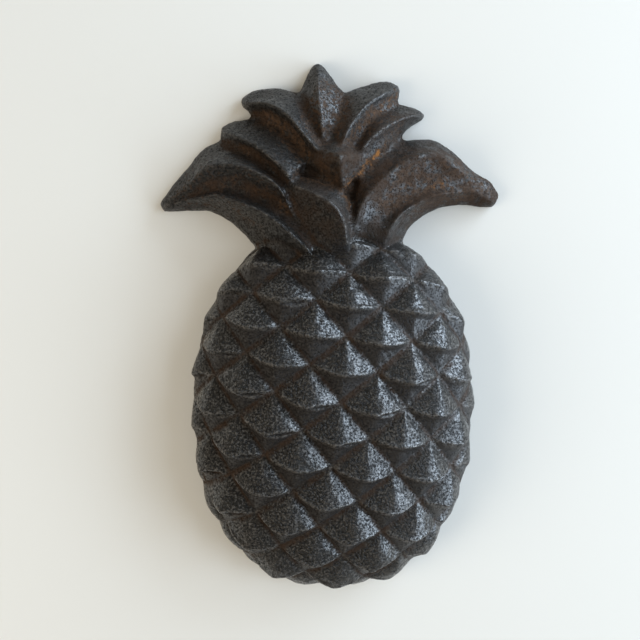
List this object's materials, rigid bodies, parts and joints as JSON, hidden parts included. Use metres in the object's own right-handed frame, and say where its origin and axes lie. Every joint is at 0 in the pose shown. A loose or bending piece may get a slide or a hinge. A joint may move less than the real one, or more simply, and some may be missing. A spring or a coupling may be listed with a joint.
{
  "type": "pineapple ornament",
  "caption": "Half-relief cast iron pineapple with diamond eyes and a crown of curling leaves, flat-rimmed and hollow behind, to lean on a wall, lie flat or be set on a surface.",
  "frame": {"origin": "centre of the bounding box, on the plane of the flat back", "axes": "lying on its back: +Z out of the relief, +Y towards the crown, +X to the right as the relief is looked at"},
  "size_m": [0.1658, 0.2546, 0.0439],
  "materials": {
    "rusty_black_iron": "thin worn black paint over sand-cast iron, with brown dirt and orange rust in the grooves"
  },
  "bodies": {
    "root": {"pineapple_casting": "rusty_black_iron"}
  },
  "joints": []
}
